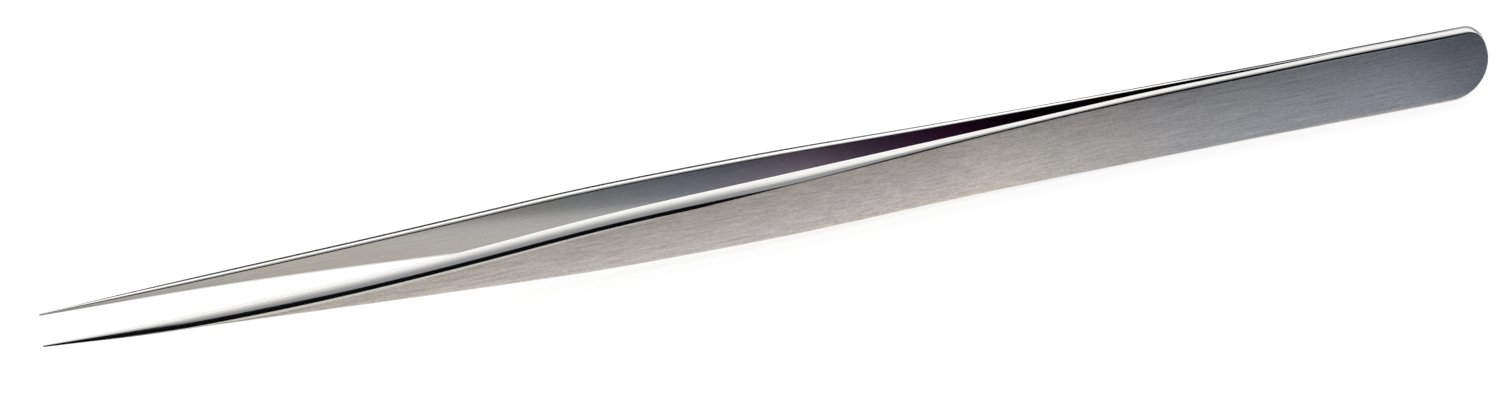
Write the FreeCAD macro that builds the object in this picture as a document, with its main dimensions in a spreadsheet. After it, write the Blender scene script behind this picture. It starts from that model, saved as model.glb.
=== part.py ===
import FreeCAD, Part
import math
import os
import Sketcher

# Fine-point straight tweezers: two mirrored arms of spring stainless steel, welded at the heel.
# Millimetres. X runs along the tweezers, from the points at -X to the heel at +X. Y is the way
# the arms open. Z is up: the tweezers lie on the lower long edges of their arms.

# Each cross-section of an arm, from the point to the front of the weld:
# run: distance from the section before
# width: height of the arm along Z
# thick: thickness of the arm along Y
# outer: radius that rounds the upper long edge on the outer side
# lower: radius that breaks the lower long edge on the outer side
# inner: radius that breaks the two long edges on the inner side
# half: distance of the inner side from the middle plane between the arms
# rise: height of the section's middle over the middle line of the arm
columns = ("run", "width", "thick", "outer", "lower", "inner", "half", "rise")
sections = {
    "point": (0.0, 0.16, 0.18, 0.05, 0.05, 0.04, 4.24, 0.20),
    "beak": (5.0, 0.44, 0.80, 0.25, 0.07, 0.08, 4.30, 0.19),
    "nose": (6.0, 0.74, 1.45, 0.44, 0.09, 0.12, 4.35, 0.18),
    "neck": (11.0, 1.52, 1.95, 0.70, 0.11, 0.12, 4.41, 0.12),
    "taper": (12.0, 2.65, 2.00, 0.74, 0.12, 0.12, 4.36, 0.02),
    "flank": (10.0, 3.80, 2.00, 0.73, 0.12, 0.12, 4.08, 0.0),
    "shoulder": (8.0, 4.72, 2.00, 0.70, 0.12, 0.12, 3.75, 0.0),
    "bend": (8.0, 5.22, 2.00, 0.68, 0.12, 0.12, 3.40, 0.0),
    "grip": (11.0, 5.56, 2.00, 0.66, 0.12, 0.12, 2.89, 0.0),
    "hollow": (12.0, 5.77, 1.52, 0.42, 0.12, 0.12, 2.05, 0.0),
    "spring": (11.0, 6.04, 1.04, 0.27, 0.14, 0.10, 1.39, 0.0),
    "root": (13.0, 6.44, 0.94, 0.24, 0.16, 0.08, 0.57, 0.0),
    "seam": (10.0, 6.60, 0.90, 0.22, 0.18, 0.06, 0.26, 0.0),
    "joint": (8.0, 6.74, 0.93, 0.22, 0.21, 0.06, 0.05, 0.0),
}
sections = {place: dict(zip(columns, row)) for place, row in sections.items()}

# The welded heel behind the last section. Its two inner long edges are sharp, so the seam is
# flush, and its end is ground round by hand: a small radius above and a large one below. One
# radius, outer, rounds all the edges of its outer side.
heel = {
    "run": 3.0,
    "length": 12.0,
    "width": 6.80,
    "thick": 0.96,
    "outer": 0.22,
    "inner": 0.06,
    "upper_round": 1.8,
    "lower_round": 4.2,
}

# Names for the ends of a sketch's edges, its origin and its axes. They are numbers of points and
# of edges, and no sizes.
BEGIN, END = range(1, 3)
LEVEL_AXIS, UPRIGHT_AXIS = range(-1, -3, -1)
ORIGIN = (LEVEL_AXIS, BEGIN)


def write_sheet(doc):
    """Puts every driving dimension in the sheet, one row each, with its name as the alias."""
    sheet = doc.addObject("Spreadsheet::Sheet", "sizes")
    values = {"heel_" + name: value for name, value in heel.items()}
    for place, section in sections.items():
        for name, value in section.items():
            values[f"{place}_{name}"] = value
    for row, (alias, value) in enumerate(values.items(), 1):
        sheet.set(f"A{row}", alias)
        sheet.set(f"B{row}", str(value))
        sheet.setAlias(f"B{row}", alias)
    doc.recompute()


def attached_sketch(body, name, role):
    """An empty sketch on the body's own origin plane that has the given role."""
    sketch = body.newObject("Sketcher::SketchObject", name)
    plane = next(feature for feature in body.Origin.OriginFeatures if feature.Role == role)
    sketch.AttachmentSupport = [(plane, "")]
    sketch.MapMode = "FlatFace"
    return sketch


def hold(sketch, *parts):
    """Adds one constraint that has no size."""
    sketch.addConstraint(Sketcher.Constraint(*parts))


def bind(sketch, name, formula, *parts):
    """Adds one constraint with a size, names it and ties it to a formula on the sheet."""
    index = sketch.addConstraint(Sketcher.Constraint(*parts))
    sketch.renameConstraint(index, name)
    sketch.setExpression("Constraints." + name, formula)


def line(start, end):
    return Part.LineSegment(FreeCAD.Vector(*start, 0), FreeCAD.Vector(*end, 0))


def arc(centre, radius, start, end):
    """Part of a circle in the sketch, anticlockwise between two angles in radians."""
    circle = Part.Circle(FreeCAD.Vector(*centre, 0), FreeCAD.Vector(0, 0, 1), radius)
    return Part.ArcOfCircle(circle, start, end)


def section_outline(size):
    """The arm's cross-section on the -Y side: level lines, upright lines and four round corners."""
    inside = -size.get("half", 0.0)
    outside = inside - size["thick"]
    top = size["width"] / 2
    inner, outer = size["inner"], size["outer"]
    lower = size.get("lower", outer)
    turn = math.pi / 2
    return [
        line((inside, inner - top), (inside, top - inner)),
        arc((inside - inner, top - inner), inner, 0, turn),
        line((inside - inner, top), (outside + outer, top)),
        arc((outside + outer, top - outer), outer, turn, 2 * turn),
        line((outside, top - outer), (outside, lower - top)),
        arc((outside + lower, lower - top), lower, 2 * turn, 3 * turn),
        line((outside + lower, -top), (inside - inner, -top)),
        arc((inside - inner, inner - top), inner, 3 * turn, 4 * turn),
    ]


def add_section(body, place, size, before):
    """One cross-section of the arm, a run behind the one before it and bound to its sizes."""
    sketch = attached_sketch(body, "section_" + place, "YZ_Plane")
    start = f"{before.Name}.AttachmentOffset.Base.z + " if before else ""
    sketch.setExpression("AttachmentOffset.Base.z", f"{start}sizes.{place}_run * 1 mm")
    if "rise" in size:
        sketch.setExpression("AttachmentOffset.Base.y", f"sizes.{place}_rise * 1 mm")
    inside, inner_top, top, outer_top, outside, outer_low, low, inner_low = range(8)
    sketch.addGeometry(section_outline(size))
    for edge in range(8):
        hold(sketch, "Tangent", edge, END, (edge + 1) % 8, BEGIN)
    hold(sketch, "Symmetric", inside, BEGIN, inside, END, LEVEL_AXIS)
    hold(sketch, "Horizontal", top)
    hold(sketch, "Vertical", outside)
    hold(sketch, "Horizontal", low)
    hold(sketch, "Equal", inner_top, inner_low)
    if "lower" in size:
        bind(sketch, "lower", f"sizes.{place}_lower", "Radius", outer_low, size["lower"])
    else:
        hold(sketch, "Equal", outer_top, outer_low)
    if "half" in size:
        bind(sketch, "half", f"sizes.{place}_half", "DistanceX", inside, END, *ORIGIN, size["half"])
    else:
        hold(sketch, "PointOnObject", inside, END, UPRIGHT_AXIS)
    across = ("DistanceX", outside, BEGIN, inside, END)
    bind(sketch, "thick", f"sizes.{place}_thick", *across, size["thick"])
    bind(sketch, "width", f"sizes.{place}_width", "DistanceY", low, END, top, BEGIN, size["width"])
    bind(sketch, "outer", f"sizes.{place}_outer", "Radius", outer_top, size["outer"])
    bind(sketch, "inner", f"sizes.{place}_inner", "Radius", inner_top, size["inner"])
    return sketch


def heel_outline(front):
    """The heel seen from the side, from its front edge back to the two arcs of its end."""
    top = heel["width"] / 2
    small, large = heel["upper_round"], heel["lower_round"]
    drop = heel["width"] - small - large
    meet = math.asin(drop / (large - small))
    large_centre = front + heel["length"] - large
    small_centre = large_centre + (large - small) * math.cos(meet)
    return [
        line((front, top), (front, -top)),
        line((front, -top), (large_centre, -top)),
        arc((large_centre, large - top), large, -math.pi / 2, meet),
        arc((small_centre, top - small), small, meet, math.pi / 2),
        line((small_centre, top), (front, top)),
    ]


def add_heel(body, last_section):
    """The flat welded heel: its side outline, padded to one arm's thickness, outer edges rounded."""
    sketch = attached_sketch(body, "heel_side", "XZ_Plane")
    distance = sum(section["run"] for section in sections.values()) + heel["run"]
    front, low, large, small, top = range(5)
    sketch.addGeometry(heel_outline(distance))
    hold(sketch, "Coincident", top, END, front, BEGIN)
    hold(sketch, "Coincident", front, END, low, BEGIN)
    hold(sketch, "Tangent", low, END, large, BEGIN)
    hold(sketch, "Tangent", large, END, small, BEGIN)
    hold(sketch, "Tangent", small, END, top, BEGIN)
    hold(sketch, "Symmetric", front, BEGIN, front, END, LEVEL_AXIS)
    hold(sketch, "Horizontal", low)
    hold(sketch, "Horizontal", top)
    place = f"{last_section.Name}.AttachmentOffset.Base.z"
    bind(sketch, "front", place, "DistanceX", *ORIGIN, front, BEGIN, distance)
    bind(sketch, "width", "sizes.heel_width", "DistanceY", front, END, front, BEGIN, heel["width"])
    bind(sketch, "lower_round", "sizes.heel_lower_round", "Radius", large, heel["lower_round"])
    bind(sketch, "upper_round", "sizes.heel_upper_round", "Radius", small, heel["upper_round"])
    flat = heel["length"] - heel["lower_round"]
    formula = "sizes.heel_length - sizes.heel_lower_round"
    bind(sketch, "flat", formula, "DistanceX", low, BEGIN, low, END, flat)
    pad = body.newObject("PartDesign::Pad", "heel_pad")
    pad.Profile = sketch
    pad.setExpression("Length", "sizes.heel_thick")
    body.Document.recompute()
    rounding = body.newObject("PartDesign::Fillet", "heel_rounding")
    rounding.Base = (pad, outer_edges(pad.Shape, distance))
    rounding.setExpression("Radius", "sizes.heel_outer")


def outer_edges(shape, front):
    """Names of the edges round the outer face, apart from the one at the heel's front."""
    names = []
    for number, edge in enumerate(shape.Edges, 1):
        box = edge.BoundBox
        at_front = box.XMax < front + heel["outer"]
        if not at_front and box.YMax < -heel["thick"] / 2:
            names.append(f"Edge{number}")
    return names


def add_left_arm(doc):
    """The arm on the -Y side: cross-sections lofted from the point to the heel."""
    body = doc.addObject("PartDesign::Body", "left_arm")
    body.Label = "left_arm"
    sketches = []
    for place, size in {**sections, "heel": heel}.items():
        before = sketches[-1] if sketches else None
        sketches.append(add_section(body, place, size, before))
    doc.recompute()
    add_heel(body, sketches[-1])
    doc.recompute()
    loft = body.newObject("PartDesign::AdditiveLoft", "arm_loft")
    loft.Profile = sketches[-1]
    loft.Sections = sketches[-2::-1]
    loft.Ruled = False
    length = f"({sketches[-1].Name}.AttachmentOffset.Base.z + sizes.heel_length * 1 mm)"
    body.setExpression("Placement.Base.x", f"-{length} / 2")
    body.setExpression("Placement.Base.z", "sizes.heel_width / 2")
    doc.recompute()
    return body


def add_right_arm(doc, left_arm):
    """The arm on the +Y side: the mirror image of the other in the plane between the two."""
    mirror = doc.addObject("Part::Mirroring", "right_arm")
    mirror.Label = "right_arm"
    mirror.Source = left_arm
    mirror.Normal = FreeCAD.Vector(0, 1, 0)
    doc.recompute()
    return mirror


def export(doc, arms):
    """Stops if a feature failed or a shape is unsound, then writes one file for each arm."""
    for feature in doc.Objects:
        if "Invalid" in feature.State or "Error" in feature.State:
            raise RuntimeError(f"{feature.Name} failed: {feature.State}")
    for arm in arms:
        if arm.Shape.isNull() or not arm.Shape.isValid() or len(arm.Shape.Solids) != 1:
            raise RuntimeError(f"{arm.Label} has no sound solid")
    os.makedirs("parts", exist_ok=True)
    for arm in arms:
        arm.Shape.exportStep(f"parts/{arm.Label}.step")
        box = arm.Shape.BoundBox
        print(f"{arm.Label}: volume {arm.Shape.Volume:.2f} mm3, {box}")


document = FreeCAD.newDocument("tweezers")
write_sheet(document)
left = add_left_arm(document)
right = add_right_arm(document, left)
export(document, [left, right])
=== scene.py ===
import math

import bmesh
import bpy
import numpy as np
from mathutils import Matrix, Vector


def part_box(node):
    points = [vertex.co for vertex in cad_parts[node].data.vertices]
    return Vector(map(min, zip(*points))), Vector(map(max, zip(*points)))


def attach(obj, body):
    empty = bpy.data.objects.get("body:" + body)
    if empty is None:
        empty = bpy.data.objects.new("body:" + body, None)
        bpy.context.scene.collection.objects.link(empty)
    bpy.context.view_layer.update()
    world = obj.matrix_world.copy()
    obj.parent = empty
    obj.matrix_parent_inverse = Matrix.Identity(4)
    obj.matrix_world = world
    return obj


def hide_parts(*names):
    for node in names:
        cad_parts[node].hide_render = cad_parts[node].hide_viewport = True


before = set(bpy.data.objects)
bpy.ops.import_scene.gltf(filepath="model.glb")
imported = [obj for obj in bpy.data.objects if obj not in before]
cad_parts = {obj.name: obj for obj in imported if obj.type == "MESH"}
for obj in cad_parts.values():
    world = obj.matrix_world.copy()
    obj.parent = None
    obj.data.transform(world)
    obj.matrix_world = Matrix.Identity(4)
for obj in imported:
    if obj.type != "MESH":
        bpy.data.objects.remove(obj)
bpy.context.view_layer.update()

scene = bpy.context.scene
mm = 0.001

# The place of the arms, read from the frame: the points, the heel's end and the lower long edges
leftLow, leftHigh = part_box("left_arm")
tipX = leftLow.x
heelX = leftHigh.x
middleZ = (leftLow.z + leftHigh.z) / 2
print("frame read: arm from", round(tipX, 4), "to", round(heelX, 4))

# Cross-sections of an arm in mm, from the point to the front of the weld. The values of a row stand
# at the distances of the first one.
armShape = {
    "distance": (0, 5, 11, 22, 34, 44, 52, 60, 71, 83, 94, 107, 117, 125, 128),
    "width": (0.16, 0.44, 0.74, 1.52, 2.65, 3.80, 4.72, 5.22, 5.56, 5.77, 6.04, 6.44, 6.60, 6.74, 6.80),
    "thick": (0.18, 0.80, 1.45, 1.95, 2.00, 2.00, 2.00, 2.00, 2.00, 1.52, 1.04, 0.94, 0.90, 0.93, 0.96),
    # radii of the upper outer, the lower outer and the inner long edges
    "outerRound": (0.06, 0.33, 0.58, 0.84, 0.84, 0.82, 0.80, 0.81, 0.92, 0.55, 0.28, 0.27, 0.28, 0.28,
                   0.28),
    "lowerRound": (0.05, 0.07, 0.09, 0.11, 0.12, 0.12, 0.12, 0.12, 0.12, 0.12, 0.12, 0.12, 0.12, 0.12,
                   0.12),
    "innerRound": (0.04, 0.08, 0.14, 0.20, 0.20, 0.20, 0.20, 0.18, 0.14, 0.12, 0.08, 0.03, 0.02, 0.02,
                   0.02),
    # degrees by which the upper outer rounding turns, and by which the crown before it falls
    "roundEnd": (99, 99, 99, 99, 99, 99, 98, 89, 62, 66, 76, 86, 94, 97, 97),
    "crown": (5.0, 5.5, 6.5, 8.0, 8.0, 8.0, 8.0, 8.0, 7.0, 6.5, 6.5, 8.5, 11.0, 12.0, 12.0),
    "halfGap": (4.24, 4.30, 4.35, 4.41, 4.36, 4.08, 3.75, 3.40, 2.89, 2.05, 1.39, 0.57, 0.26, 0.05, 0.0),
    "rise": (0.20, 0.19, 0.18, 0.12, 0.02, 0, 0, 0, 0, 0, 0, 0, 0, 0, 0),  # of the section's middle
    "endRound": 0.12,  # to which the rounding narrows round the heel's end
    "tipRound": 0.1,  # half-length of the ellipse that closes the point
    "upperRadius": 1.8,  # of the heel's end
    "lowerRadius": 4.2,
    "weldInnerRound": 0.01,  # inner corners behind the weld's front, ground flush
    "weldFade": 1.5,  # length over which the groove between the arms runs out
}

# How finely an arm is divided
armDetail = {
    "tipRings": 11,  # round the point
    "noseFrom": 0.25,  # mm behind the point, where the close rings begin, a step apart
    "noseStep": 0.25,
    "noseEnd": 6.0,  # mm behind the point, where the wider steps begin
    "bodyStep": 0.5,
    "bodyStop": 0.2,  # mm before the heel's turn
    "heelRings": 40,
    "cornerPoints": 7,  # over the inner corner of an edge, the crown and the outer rounding
    "crownPoints": 9,
    "roundPoints": 21,
    "sideShares": (0.012, 0.25, 0.5, 0.75, 0.988),  # where points lie across a broad side
    "mergeWithin": 0.0005,  # mm
}
satinFinish, smoothFinish, polishedFinish = 0, 1, 2  # places of the materials on an arm


# Natural cubic spline: between two stations a cubic whose slope and bend carry on into the next
def splineThrough(stations, values, where):
    stations = np.asarray(stations, float)
    values = np.asarray(values, float)
    gaps = np.diff(stations)
    slopes = np.diff(values) / gaps
    system = np.eye(len(stations))
    inner = np.arange(1, len(stations) - 1)
    system[inner, inner - 1] = gaps[:-1]
    system[inner, inner] = 2 * (gaps[:-1] + gaps[1:])
    system[inner, inner + 1] = gaps[1:]
    right = np.zeros(len(stations))
    right[inner] = 6 * np.diff(slopes)
    bends = np.linalg.solve(system, right)
    span = np.clip(np.searchsorted(stations, where) - 1, 0, len(gaps) - 1)
    gap = gaps[span]
    after = (where - stations[span]) / gap
    before = 1 - after
    curve = (before**3 - before) * bends[span] + (after**3 - after) * bends[span + 1]
    return before * values[span] + after * values[span + 1] + curve * gap**2 / 6


# Distances along the arm: close together round the point and round the heel's end
def armStations(shape, length):
    detail = armDetail
    quarter = np.linspace(0, np.pi / 2, detail["tipRings"])
    point = shape["tipRound"] * (1 - np.cos(quarter))
    nose = np.arange(detail["noseFrom"], detail["noseEnd"], detail["noseStep"])
    bodyEnd = length - shape["lowerRadius"] - detail["bodyStop"]
    body = np.arange(detail["noseEnd"], bodyEnd, detail["bodyStep"])
    turn = np.linspace(0, np.pi / 2, detail["heelRings"])
    end = length - shape["lowerRadius"] * (1 - np.sin(turn))
    return np.concatenate([point, nose, body, end])


# Upper and lower outline of the arm seen from the side, as heights over its middle line.
# The point closes as a half ellipse. The heel ends in two arcs that touch each other.
def armOutline(shape, length, at):
    behind = np.minimum(at, shape["distance"][-1])
    half = splineThrough(shape["distance"], shape["width"], behind) / 2
    tip = shape["tipRound"]
    half = half * np.sqrt(1 - np.clip((tip - at) / tip, 0, 1) ** 2)
    small, large = shape["upperRadius"], shape["lowerRadius"]
    heelHalf = shape["width"][-1] / 2
    largeX, largeZ = length - large, large - heelHalf
    smallZ = heelHalf - small
    meet = math.asin((smallZ - largeZ) / (large - small))
    smallX = largeX + (large - small) * math.cos(meet)
    meetX = smallX + small * math.cos(meet)
    onSmall = smallZ + np.sqrt(np.clip(small**2 - (at - smallX) ** 2, 0, None))
    onLarge = np.sqrt(np.clip(large**2 - (at - largeX) ** 2, 0, None))
    upper = np.where(at > smallX, onSmall, half)
    upper = np.where(at > meetX, largeZ + onLarge, upper)
    lower = np.where(at > largeX, largeZ - onLarge, -half)
    rise = splineThrough(shape["distance"], shape["rise"], behind)
    return upper + rise, lower + rise


# Outward directions of the outline: a quarter turn from the line between a point's neighbours
def outlineNormals(at, upper, lower):
    x = np.concatenate([at, at[-2:0:-1]])
    z = np.concatenate([upper, lower[-2:0:-1]])
    alongX = np.roll(x, -1) - np.roll(x, 1)
    alongZ = np.roll(z, -1) - np.roll(z, 1)
    size = np.hypot(alongX, alongZ)
    normals = np.stack([-alongZ / size, alongX / size], axis=1)
    count = len(at)
    onLower = np.concatenate([normals[:1], normals[:count - 2:-1][:count - 1]])
    return normals[:count], onLower


# How an edge is rounded between the inner and the outer side: for each step, how far it lies in
# from the outline and how far out from the middle plane. Three circular arcs that touch: a small
# one at the inner corner, a wide crown that falls outwards, and the outer rounding.
def edgeProfile(inner, outer, thick, half, crown, ending):
    given = (inner, outer, thick, half, crown, ending)
    inner, outer, thick, half, crown, ending = (value[:, None] for value in given)
    reach = outer * np.sin(np.minimum(ending, np.pi / 2))
    centre = half + thick - reach
    flat = centre + outer * np.sin(crown) - half - inner
    wide = flat / np.sin(crown)
    drop = wide * (1 - np.cos(crown)) + outer * np.cos(crown)
    corner = np.linspace(-np.pi / 2, 0, armDetail["cornerPoints"])[None, :]
    top = crown * np.linspace(0, 1, armDetail["crownPoints"])[None, 1:-1]
    rounding = crown + (ending - crown) * np.linspace(0, 1, armDetail["roundPoints"])[None, :]
    inset = [inner * (1 - np.cos(corner)), wide * (1 - np.cos(top)), drop - outer * np.cos(rounding)]
    across = [half + inner * (1 + np.sin(corner)), half + inner + wide * np.sin(top),
              centre + outer * np.sin(rounding)]
    return np.concatenate(inset, axis=1), np.concatenate(across, axis=1)


# One arm as rings of points round its section. Each ring runs over the upper edge, down the
# outer side, back under the lower edge and up the inner side. The sides are straight lines between
# the edges. Gives the rings and which finish the faces after each point have.
def armRings(shape, length):
    at = armStations(shape, length)
    upper, lower = armOutline(shape, length, at)
    upNormal, downNormal = outlineNormals(at, upper, lower)
    front = shape["distance"][-1]
    behind = np.minimum(at, front)
    names = ("thick", "outerRound", "lowerRound", "innerRound", "roundEnd", "crown", "halfGap")
    size = {name: splineThrough(shape["distance"], shape[name], behind) for name in names}
    size["halfGap"] = np.maximum(size["halfGap"], 0)
    fade = np.clip((at - front) / shape["weldFade"] + 1, 0, 1)
    inner = size["innerRound"] * (1 - fade) + shape["weldInnerRound"] * fade
    turning = np.clip((at - length) / shape["lowerRadius"] + 1, 0, 1)
    outer = size["outerRound"] * (1 - turning) + shape["endRound"] * turning
    ending = np.radians(size["roundEnd"])

    def edge(height, normal, outer, ending):
        inset, across = edgeProfile(inner, outer, size["thick"], size["halfGap"],
                                    np.radians(size["crown"]), ending)
        x = at[:, None] - inset * normal[:, :1]
        z = height[:, None] - inset * normal[:, 1:]
        return np.stack([x, across, z], axis=2)

    top = edge(upper, upNormal, outer, ending)
    bottom = edge(lower, downNormal, size["lowerRound"], np.full(len(at), np.pi / 2))
    steps = np.array(armDetail["sideShares"])[None, :, None]
    outerSide = top[:, -1:] * (1 - steps) + bottom[:, -1:] * steps
    innerSide = bottom[:, :1] * (1 - steps) + top[:, :1] * steps
    rings = np.concatenate([top, outerSide, bottom[:, ::-1], innerSide], axis=1)
    edgeCount, sideCount = top.shape[1], steps.shape[1]
    finish = np.full(rings.shape[1], polishedFinish)
    finish[edgeCount - 1:edgeCount + sideCount + armDetail["roundPoints"] - 1] = satinFinish
    finish[2 * edgeCount + sideCount - 1:] = smoothFinish
    return rings, finish


# Puts the rings into a mesh. side is -1 for the arm at -Y and 1 for the arm at +Y.
def armMesh(name, side, shape):
    length = (heelX - tipX) / mm
    rings, finish = armRings(shape, length)
    rows, around = rings.shape[:2]
    points = rings.reshape(-1, 3) * mm
    points[:, 0] += tipX
    points[:, 1] *= side
    points[:, 2] += middleZ
    row = np.arange(rows - 1)[:, None] * around
    column = np.arange(around)[None, :]
    following = (column + 1) % around
    ahead = row + around
    faces = np.stack([row + column, row + following, ahead + following, ahead + column], axis=2)
    faces = faces.reshape(-1, 4)
    if side > 0:
        faces = faces[:, ::-1]
    mesh = bpy.data.meshes.new(name)
    mesh.from_pydata(points, [], faces.tolist())
    mesh.polygons.foreach_set("material_index", np.tile(finish, rows - 1))
    mesh.polygons.foreach_set("use_smooth", np.ones(len(faces), bool))
    closeEnds(mesh)
    addAlongMap(mesh)
    piece = bpy.data.objects.new(name, mesh)
    scene.collection.objects.link(piece)
    return piece


# Joins the points that meet at the two ends, closes the slit that is left there between the upper
# and the lower rounding, and turns every face outwards
def closeEnds(mesh):
    shell = bmesh.new()
    shell.from_mesh(mesh)
    bmesh.ops.remove_doubles(shell, verts=shell.verts, dist=armDetail["mergeWithin"] * mm)
    patches = bmesh.ops.holes_fill(shell, edges=shell.edges, sides=0)["faces"]
    for patch in patches:
        patch.material_index = polishedFinish
        patch.smooth = True
    bmesh.ops.triangulate(shell, faces=patches)
    bmesh.ops.recalc_face_normals(shell, faces=shell.faces)
    shell.to_mesh(mesh)
    shell.free()


# Flat map whose first axis runs along the arm, so that the grinding marks know their direction: X,
# and Z with a share of Y, which keeps the narrow edges from closing up in it
def addAlongMap(mesh):
    share, perMetre = 0.31, 10
    points = np.zeros(len(mesh.vertices) * 3)
    mesh.vertices.foreach_get("co", points)
    points = points.reshape(-1, 3)
    corners = np.zeros(len(mesh.loops), int)
    mesh.loops.foreach_get("vertex_index", corners)
    layer = mesh.uv_layers.new(name="along")
    flat = np.stack([points[:, 0], points[:, 2] + share * points[:, 1]], axis=1) * perMetre
    layer.data.foreach_set("uv", flat[corners].ravel())


# Turns an sRGB hex colour to the linear values that a shader takes, by the standard's own curve
def linearColour(code):
    parts = [int(code[place:place + 2], 16) / 255 for place in (1, 3, 5)]
    linear = [part / 12.92 if part < 0.04045 else ((part + 0.055) / 1.055) ** 2.4 for part in parts]
    return (*linear, 1)


# Adds one node with its own settings, its values and the links into it
def addNode(tree, kind, settings=None, values=None, links=None):
    node = tree.nodes.new(kind)
    for name, value in (settings or {}).items():
        setattr(node, name, value)
    for socket, value in (values or {}).items():
        node.inputs[socket].default_value = value
    for socket, source in (links or {}).items():
        tree.links.new(source, node.inputs[socket])
    return node


# Colour that changes along one axis, from the given places in mm and their colours
def rampAlong(tree, place, stops, axis="X"):
    split = addNode(tree, "ShaderNodeSeparateXYZ", None, None, {"Vector": place})
    first, last = stops[0][0], stops[-1][0]
    along = addNode(tree, "ShaderNodeMapRange", None, {"From Min": first * mm, "From Max": last * mm},
                    {"Value": split.outputs[axis]})
    ramp = addNode(tree, "ShaderNodeValToRGB", None, None, {"Fac": along.outputs[0]})
    while len(ramp.color_ramp.elements) < len(stops):
        ramp.color_ramp.elements.new(0.5)
    for element, (where, colour) in zip(ramp.color_ramp.elements, stops):
        element.position = (where - first) / (last - first)
        element.color = linearColour(colour)
    return ramp.outputs[0]


def newMaterial(name):
    material = bpy.data.materials.new(name)
    material.use_nodes = True
    material.node_tree.nodes.clear()
    return material, material.node_tree


satinSteel = {
    "colour": "#E0D9D0",
    "darker": "#B7B2AA",
    "roughness": 0.34,
    "glossSpread": 0.05,  # by which the roughness changes from mark to mark
    "anisotropy": 0.55,
    "grindLength": 0.4,  # mm, length of a short grinding mark
    "grindWidth": 0.09,  # mm, drawn coarser than the real 0.03 so that it shows
    "streakLength": 7.0,  # mm, length of the long streaks that the belt leaves
    "streakWidth": 0.16,  # mm, drawn coarser than the real 0.05 so that they show
    "streakShare": 0.75,  # strength of the streaks beside that of the short marks
    "toneSpread": 0.46,  # how far apart the marks lie that take the two colours
    "markDepth": 0.0006,  # mm
}
innerSteel = {
    "colour": "#C8C4BE",
    "darker": "#BEB9B3",
    "roughness": 0.20,
    "glossSpread": 0.05,
    "anisotropy": 0.2,
    "grindLength": 0.4,
    "grindWidth": 0.09,
    "streakLength": 7.0,
    "streakWidth": 0.16,
    "streakShare": 0.9,
    "toneSpread": 0.46,
    "markDepth": 0.0002,
    # mm along X and the faint colour painted on the inner side there: straw, blue, then violet as painted
    # reflection, and darker towards the heel as painted shade of the narrowing gap between the arms
    "paintedGapTint": ((-45, "#E8E7E1"), (-24, "#E2E7EC"), (-8, "#DAE4F2"), (4, "#E2DFF2"),
                 (9, "#D0C8E0"), (18, "#CDA8D4"), (27, "#A08FAA"), (50, "#A695B4")),
}


# Scale of a pattern whose marks run along the arm, from their length and width in mm
def lengthwise(length, width):
    return 1 / (length * mm), 1 / (width * mm), 1 / (width * mm)


# Stainless spring steel, ground lengthwise on a fine belt: a silky grey whose highlights spread
# across the marks and stay narrow along them
def groundSteel(name, size):
    material, tree = newMaterial(name)
    place = addNode(tree, "ShaderNodeTexCoord").outputs["Object"]
    marks = addNode(tree, "ShaderNodeMapping", None,
                    {"Scale": lengthwise(size["grindLength"], size["grindWidth"])}, {"Vector": place})
    grain = addNode(tree, "ShaderNodeTexNoise", None, {"Scale": 1, "Detail": 3, "Roughness": 0.6},
                    {"Vector": marks.outputs[0]})
    long = addNode(tree, "ShaderNodeMapping", None,
                   {"Scale": lengthwise(size["streakLength"], size["streakWidth"])}, {"Vector": place})
    streaks = addNode(tree, "ShaderNodeTexNoise", None, {"Scale": 1, "Detail": 2},
                      {"Vector": long.outputs[0]})
    blend = addNode(tree, "ShaderNodeMath", {"operation": "MULTIPLY_ADD"}, {1: size["streakShare"]},
                    {0: streaks.outputs["Fac"], 2: grain.outputs["Fac"]})
    middle = (1 + size["streakShare"]) / 2
    apart = size["toneSpread"] / 2
    tone = addNode(tree, "ShaderNodeMapRange", None,
                   {"From Min": middle - apart, "From Max": middle + apart}, {"Value": blend.outputs[0]})
    colour = addNode(tree, "ShaderNodeMix", {"data_type": "RGBA"},
                     {6: linearColour(size["darker"]), 7: linearColour(size["colour"])},
                     {0: tone.outputs[0]})
    paint = colour.outputs[2]
    # multiplies painted reflection tint and painted shade of the gap into the inner side's colour, along X
    if "paintedGapTint" in size:
        tint = rampAlong(tree, place, size["paintedGapTint"])
        paint = addNode(tree, "ShaderNodeMix", {"data_type": "RGBA", "blend_type": "MULTIPLY"}, {0: 1},
                        {6: paint, 7: tint}).outputs[2]
    gloss = addNode(tree, "ShaderNodeMapRange", None,
                    {"To Min": size["roughness"] - size["glossSpread"],
                     "To Max": size["roughness"] + size["glossSpread"]},
                    {"Value": grain.outputs["Fac"]})
    relief = addNode(tree, "ShaderNodeBump", None, {"Strength": 0.5, "Distance": size["markDepth"] * mm},
                     {"Height": grain.outputs["Fac"]})
    along = addNode(tree, "ShaderNodeTangent", {"direction_type": "UV_MAP", "uv_map": "along"})
    steel = addNode(tree, "ShaderNodeBsdfPrincipled", None,
                    {"Metallic": 1, "Anisotropic": size["anisotropy"], "Anisotropic Rotation": 0.25},
                    {"Base Color": paint, "Roughness": gloss.outputs[0],
                     "Normal": relief.outputs[0], "Tangent": along.outputs[0]})
    addNode(tree, "ShaderNodeOutputMaterial", None, None, {"Surface": steel.outputs[0]})
    return material


polishedEdge = {
    "colour": "#E2E1DE",
    "darker": "#D0CFCD",
    "roughness": 0.12,
    "glossSpread": 0.03,
    "rubLength": 1.2,  # mm, length of a polishing mark
    "rubWidth": 0.10,  # mm
}


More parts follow.
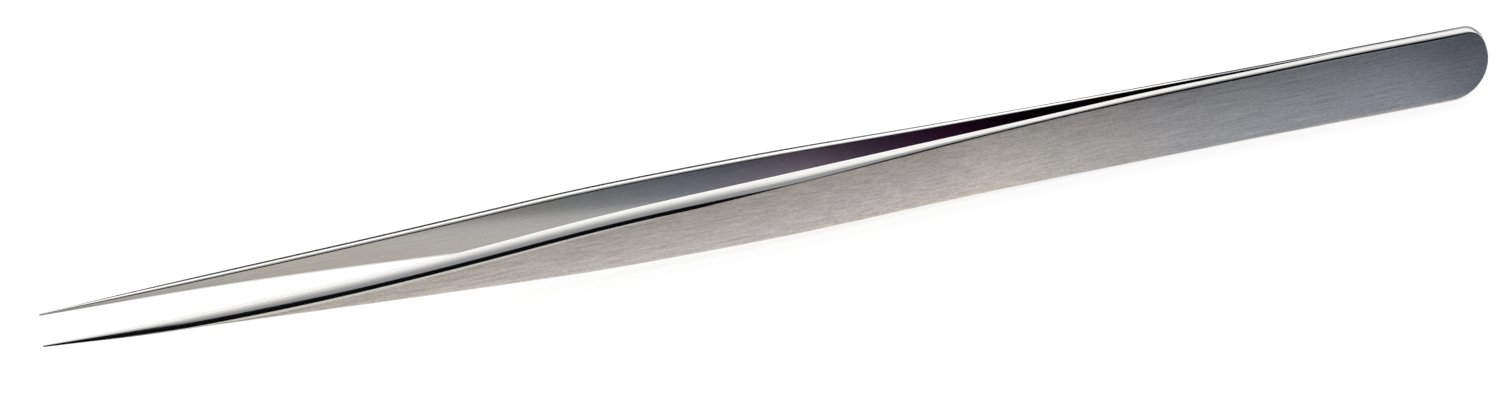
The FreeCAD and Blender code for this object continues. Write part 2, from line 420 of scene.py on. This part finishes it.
# The same steel, its long edges rounded and polished by hand: bright, with faint lengthwise rubs
def handPolishedSteel():
    material, tree = newMaterial("hand_polished_stainless")
    place = addNode(tree, "ShaderNodeTexCoord").outputs["Object"]
    size = polishedEdge
    marks = addNode(tree, "ShaderNodeMapping", None,
                    {"Scale": lengthwise(size["rubLength"], size["rubWidth"])}, {"Vector": place})
    grain = addNode(tree, "ShaderNodeTexNoise", None, {"Scale": 1, "Detail": 2, "Roughness": 0.55},
                    {"Vector": marks.outputs[0]})
    colour = addNode(tree, "ShaderNodeMix", {"data_type": "RGBA"},
                     {6: linearColour(size["darker"]), 7: linearColour(size["colour"])},
                     {0: grain.outputs["Fac"]})
    gloss = addNode(tree, "ShaderNodeMapRange", None,
                    {"To Min": size["roughness"] - size["glossSpread"],
                     "To Max": size["roughness"] + size["glossSpread"]},
                    {"Value": grain.outputs["Fac"]})
    steel = addNode(tree, "ShaderNodeBsdfPrincipled", None, {"Metallic": 1},
                    {"Base Color": colour.outputs[2], "Roughness": gloss.outputs[0]})
    addNode(tree, "ShaderNodeOutputMaterial", None, None, {"Surface": steel.outputs[0]})
    return material


# Both arms, each in place of its plain solid. The materials stand in the order of the finishes.
materials = [groundSteel("satin_ground_stainless", satinSteel),
             groundSteel("smooth_ground_stainless", innerSteel),
             handPolishedSteel()]
for node, side in (("left_arm", -1), ("right_arm", 1)):
    arm = armMesh(node + "_ground", side, armShape)
    for material in materials:
        arm.data.materials.append(material)
    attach(arm, "root")
    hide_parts(node)
    print("arm made:", arm.name, len(arm.data.polygons), "faces")


studio = {
    "floorRadius": 3.0,  # m
    "floorColour": "#F2F2F2",
    "floorGlow": 0.74,  # share of the white floor that comes without light, so shadows stay soft
    "floorPaint": 0.36,  # share that takes light and shadow
    "lamps": {  # place and size in m, then how much brighter than the white room it is
        "softBox": ((0.335, 0.55, 0.295), (0.93, 0.31), 0.26),
        "lowStrip": ((0.335, 0.60, 0.165), (0.93, 0.09), 0.45),
    },
    "worldAmbient": 0.95,
}


# A card or floor as one flat face between its corners, part of the studio and not of the object
def flatCard(name, corners, material):
    mesh = bpy.data.meshes.new(name)
    mesh.from_pydata(corners, [], [tuple(range(len(corners)))])
    mesh.materials.append(material)
    card = bpy.data.objects.new(name, mesh)
    scene.collection.objects.link(card)
    return card


# The rays that see the white background: straight from the camera, mirrored or passed through
def seesBackground(tree):
    path = addNode(tree, "ShaderNodeLightPath")
    mirrored = addNode(tree, "ShaderNodeMath", {"operation": "MAXIMUM"}, None,
                       {0: path.outputs["Is Camera Ray"], 1: path.outputs["Is Glossy Ray"]})
    return addNode(tree, "ShaderNodeMath", {"operation": "MAXIMUM"}, None,
                   {0: mirrored.outputs[0], 1: path.outputs["Is Transmission Ray"]}).outputs[0]


# Corners of a rectangle that lies level, and of one that stands along X
def lying(left, right, near, far, height):
    return [(left, near, height), (right, near, height), (right, far, height), (left, far, height)]


def standing(left, right, place, low, high):
    return [(left, place, low), (right, place, low), (right, place, high), (left, place, high)]


# Matt white table: nearly white by itself, and dimmer only where the tweezers shade it
def paleFloor():
    material, tree = newMaterial("matt_white_table")
    white, grey = (1, 1, 1, 1), (studio["floorPaint"],) * 3 + (1,)
    paint = addNode(tree, "ShaderNodeBsdfDiffuse", None, {"Color": linearColour(studio["floorColour"])})
    dim = addNode(tree, "ShaderNodeBsdfDiffuse", None, {"Color": grey})
    glow = addNode(tree, "ShaderNodeEmission", None, {"Color": white, "Strength": studio["floorGlow"]})
    both = addNode(tree, "ShaderNodeAddShader", None, None, {0: glow.outputs[0], 1: dim.outputs[0]})
    seen = addNode(tree, "ShaderNodeMixShader", None, None,
                   {0: seesBackground(tree), 1: paint.outputs[0], 2: both.outputs[0]})
    addNode(tree, "ShaderNodeOutputMaterial", None, None, {"Surface": seen.outputs[0]})
    reach = studio["floorRadius"]
    return flatCard("floor", lying(-reach, reach, -reach, reach, 0), material)


def glowCard(name, colour, strength):
    material, tree = newMaterial(name)
    glow = addNode(tree, "ShaderNodeEmission", None, {"Color": linearColour(colour), "Strength": strength})
    addNode(tree, "ShaderNodeOutputMaterial", None, None, {"Surface": glow.outputs[0]})
    return material


# Places of the cards in mm
cards = {
    "half": 320.0,  # half-length of the cards
    "lift": 0.1,  # height of the grey and pale cards that lie on the table
    "blackLift": 0.2,  # height of the black one, which lies over them
    "frontNear": 30.0,  # in front of the tweezers, where the graded cards on the table begin
    "greyUpTo": 12.0,  # up to which the grey one reaches, then the cool and the warm one
    "coolUpTo": 6.0,
    "warmUpTo": 1.3,
    "heelStart": 22.0,  # along X, where the graded card beside the heel begins
    "frontFar": 90.0,  # in front, where the black card stands
    "frontHigh": 94.0,
    "endBlackHigh": 118.0,  # to which the black reaches at both ends of the tweezers
    "needleHigh": 190.0,  # to which it reaches beyond the points
    "ahead": 1.0,  # by which that black stands in front of the grey slope
    "greyHigh": 300.0,  # where the grey slope overhead ends and a pale card goes on
    "greyFar": 90.0,
    "paleFar": 480.0,
    "backNear": 24.0,  # behind the tweezers, where the dark card on the table begins
    "backFar": 150.0,
    "backHigh": 36.0,
    "backRise": 3.0,  # by which the dark card stands higher behind the points and the middle
    "backEnd": 92.0,  # along X, where the dark cards behind end and a grey one goes on
    "lilacStart": 62.0,  # along X, where a lilac grey card stands on behind the heel
    "lilacHigh": 57.0,
}

# Places in mm along X where a slanting edge of a card starts and ends
slants = {
    "pointBlack": (-43.0, -56.0),  # below, above
    "needleBlack": (-70.0, -76.0),
    "heelBlack": (34.0, 52.0),
    "pale": (20.0, 40.0),  # near, far
    "backRise": (5.0, 40.0),  # the higher, the lower end
}

# Edge of the black table card nearest to the tweezers, as places in mm along X and in front
blackEdge = ((50.0, 16.5), (26.0, 19.0), (16.0, 30.0), (-50.0, 30.0), (-58.0, 15.0), (-66.0, 7.5))

# Colours of the cards. A graded one has places in mm along its axis and the colour there.
cardColours = {
    "black": "#0A0B0E",
    "dark": "#1A1B1E",
    "side": "#A6A7B2",
    "lilac": "#A9A8B8",
    "grey": ((94, "#A3A4A9"), (170, "#B2B3B6"), (300, "#CFCFD1")),
    "pale": ((90, "#CFCFD1"), (180, "#DBDBDC"), (330, "#EDEDED"), (480, "#FFFFFF")),
    "heel": ((22, "#FFFFFF"), (36, "#DADDE7"), (44, "#C8CFDE"), (55, "#B8C1D2"), (63, "#AEB8CC"),
             (69, "#868FA3")),
    "table": ((-60, "#E9E8E4"), (-30, "#E9E8E4"), (-14, "#DAD9D9"), (22, "#D6D4D6")),
    "cool": ((-70, "#FFFFFF"), (-30, "#FAFAFF"), (22, "#E4E5EE")),
    "warm": ((-66, "#CBD4E2"), (-58, "#DCE0ED"), (-52, "#E2E4EE"), (-46, "#EDECEC"), (-30, "#FFFAF7")),
}
cardGlow = {"cool": 1.16, "warm": 1.06}  # the others glow at 1


# Card that is graded along one axis
def gradedCard(name, stops, strength, axis="X"):
    material, tree = newMaterial(name)
    place = addNode(tree, "ShaderNodeTexCoord").outputs["Object"]
    glow = addNode(tree, "ShaderNodeEmission", None, {"Strength": strength},
                   {"Color": rampAlong(tree, place, stops, axis)})
    addNode(tree, "ShaderNodeOutputMaterial", None, None, {"Surface": glow.outputs[0]})
    return material


# Corners of a black card that carries the standing one on up the grey slope, at one end of the
# tweezers: it keeps in front of the slope and ends at a height
def upTheSlope(size, outer, slant, high):
    low = np.array((-size["frontFar"] + size["ahead"], size["frontHigh"]))
    slope = (size["greyHigh"] - size["frontHigh"]) / (size["greyFar"] + size["frontFar"])
    top = np.array((low[0] + (high - low[1]) / slope, high))
    return [(outer, *low), (slant[0] * mm, *low), (slant[1] * mm, *top), (outer, *top)]


# Cards that only the steel sees: black along the table in front, which draws the dark line under
# the rounded edge, mid grey above it, which shades the rounding, and dark grey along the back,
# which edges the arms against the white table
def edgeCards():
    size = {name: value * mm for name, value in cards.items()}
    half, lift, over = size["half"], size["lift"], size["blackLift"]
    near, far, high = -size["frontNear"], -size["frontFar"], size["frontHigh"]
    back, backFar, backHigh, end = size["backNear"], size["backFar"], size["backHigh"], size["backEnd"]
    greyFar, greyHigh, paleFar = size["greyFar"], size["greyHigh"], size["paleFar"]
    start, greyEdge = size["heelStart"], -size["greyUpTo"]
    coolEdge, warmEdge = -size["coolUpTo"], -size["warmUpTo"]
    risen = backHigh + size["backRise"]
    paleNear, paleEnd = (place * mm for place in slants["pale"])
    riseEnd, riseStart = (place * mm for place in slants["backRise"])
    edge = [(x * mm, -y * mm, over) for x, y in blackEdge]
    plain = {name: glowCard(name + "_card", cardColours[name], 1)
             for name in ("black", "dark", "side", "lilac")}
    graded = {name: gradedCard(name + "_card", cardColours[name], cardGlow.get(name, 1), axis)
              for name, axis in (("grey", "Z"), ("pale", "Y"), ("heel", "X"), ("table", "X"),
                                 ("cool", "X"), ("warm", "X"))}
    made = [
        flatCard("blackTableCard", [(-half, edge[-1][1], over), (-half, far, over), (half, far, over),
                                    (half, edge[0][1], over), *edge], plain["black"]),
        flatCard("blackStandingCard", standing(-half, half, far, 0, high), plain["black"]),
        flatCard("pointBlackCard", upTheSlope(size, -half, slants["pointBlack"], size["endBlackHigh"]),
                 plain["black"]),
        flatCard("needleBlackCard", upTheSlope(size, -half, slants["needleBlack"], size["needleHigh"]),
                 plain["black"]),
        flatCard("heelBlackCard", upTheSlope(size, half, slants["heelBlack"], size["endBlackHigh"]),
                 plain["black"]),
        flatCard("greyCard", [(-half, far, high), (half, far, high), (half, greyFar, greyHigh),
                              (-half, greyFar, greyHigh)], graded["grey"]),
        flatCard("paleCard", [(-half, greyFar, greyHigh), (paleNear, greyFar, greyHigh),
                              (paleEnd, paleFar, greyHigh), (-half, paleFar, greyHigh)], graded["pale"]),
        flatCard("gradedCard", lying(start, half, near, warmEdge, lift), graded["heel"]),
        flatCard("greyTableCard", lying(-half, start, near, greyEdge, lift), graded["table"]),
        flatCard("coolTableCard", lying(-half, start, greyEdge, coolEdge, lift), graded["cool"]),
        flatCard("warmTableCard", lying(-half, start, coolEdge, warmEdge, lift), graded["warm"]),
        flatCard("backTableCard", lying(-half, end, back, backFar, lift), plain["dark"]),
        flatCard("backStandingCard", [(-half, backFar, 0), (end, backFar, 0), (end, backFar, backHigh),
                                      (riseStart, backFar, backHigh), (riseEnd, backFar, risen),
                                      (-half, backFar, risen)], plain["dark"]),
        flatCard("heelBackCard", standing(size["lilacStart"], half, backFar, backHigh, size["lilacHigh"]),
                 plain["lilac"]),
        flatCard("sideStandingCard", standing(end, half, backFar, 0, backHigh), plain["side"]),
    ]
    for card in made:
        card.visible_camera = False
        card.visible_diffuse = False
        card.visible_shadow = False
        card.visible_transmission = False


# White all round for the camera and in reflections, and even light for the rest
def whiteWorld():
    world = bpy.data.worlds.new("white_room")
    scene.world = world
    world.use_nodes = True
    tree = world.node_tree
    tree.nodes.clear()
    white = (1, 1, 1, 1)
    seen = addNode(tree, "ShaderNodeBackground", None, {"Color": white, "Strength": 1})
    light = addNode(tree, "ShaderNodeBackground", None,
                    {"Color": white, "Strength": studio["worldAmbient"]})
    mix = addNode(tree, "ShaderNodeMixShader", None, None,
                  {0: seesBackground(tree), 1: light.outputs[0], 2: seen.outputs[0]})
    addNode(tree, "ShaderNodeOutputWorld", None, None, {"Surface": mix.outputs[0]})


# Soft lights behind the tweezers, each turned to face them
def softLights():
    for name, (place, area, radiance) in studio["lamps"].items():
        data = bpy.data.lights.new(name, "AREA")
        data.shape = "RECTANGLE"
        data.size, data.size_y = area
        data.energy = radiance * math.pi * area[0] * area[1]
        lamp = bpy.data.objects.new(name, data)
        scene.collection.objects.link(lamp)
        lamp.location = place
        lamp.rotation_euler = (-math.atan2(place[1], place[2]), 0, 0)
        lamp.visible_camera = False


paleFloor()
edgeCards()
whiteWorld()
softLights()
print("studio made")


photoView = {
    "lens": 180.0,  # mm
    "sensor": 36.0,  # mm wide
    "clip": (0.01, 20),  # m
    "viewWidth": 143.4,  # mm of the tweezers' length across the picture
    "elevation": 20.0,  # degrees above the table
    "turn": -4.5,  # degrees that it stands towards the points
    "roll": 9.22,  # degrees that it is tilted, so that the tweezers rise to the right
    "aim": (-1.5, 0.0, 2.39),  # mm, what the middle of the picture shows
}


# Long lens in front of the left arm's outer side, tilted so that the heel rises to the right
def photoCamera():
    data = bpy.data.cameras.new("photoCamera")
    data.sensor_width = photoView["sensor"]
    data.lens = photoView["lens"]
    data.clip_start, data.clip_end = photoView["clip"]
    camera = bpy.data.objects.new("photoCamera", data)
    scene.collection.objects.link(camera)
    rise, roll = math.radians(photoView["elevation"]), math.radians(photoView["roll"])
    turn = math.radians(photoView["turn"])
    level = np.array([math.cos(turn), math.sin(turn), 0])
    ahead = np.array([-math.sin(turn), math.cos(turn), 0])
    above = np.array([0, 0, 1])
    forward = math.cos(rise) * ahead - math.sin(rise) * above
    up = math.sin(rise) * ahead + math.cos(rise) * above
    right = math.cos(roll) * level - math.sin(roll) * up
    top = math.sin(roll) * level + math.cos(roll) * up
    distance = photoView["viewWidth"] * mm * data.lens / data.sensor_width
    place = np.array(photoView["aim"]) * mm - forward * distance
    turned = np.eye(4)
    turned[:3, 0], turned[:3, 1], turned[:3, 2], turned[:3, 3] = right, top, -forward, place
    camera.matrix_world = Matrix(turned.tolist())
    scene.camera = camera


photoCamera()
scene.view_settings.view_transform = "Standard"
print("camera placed")
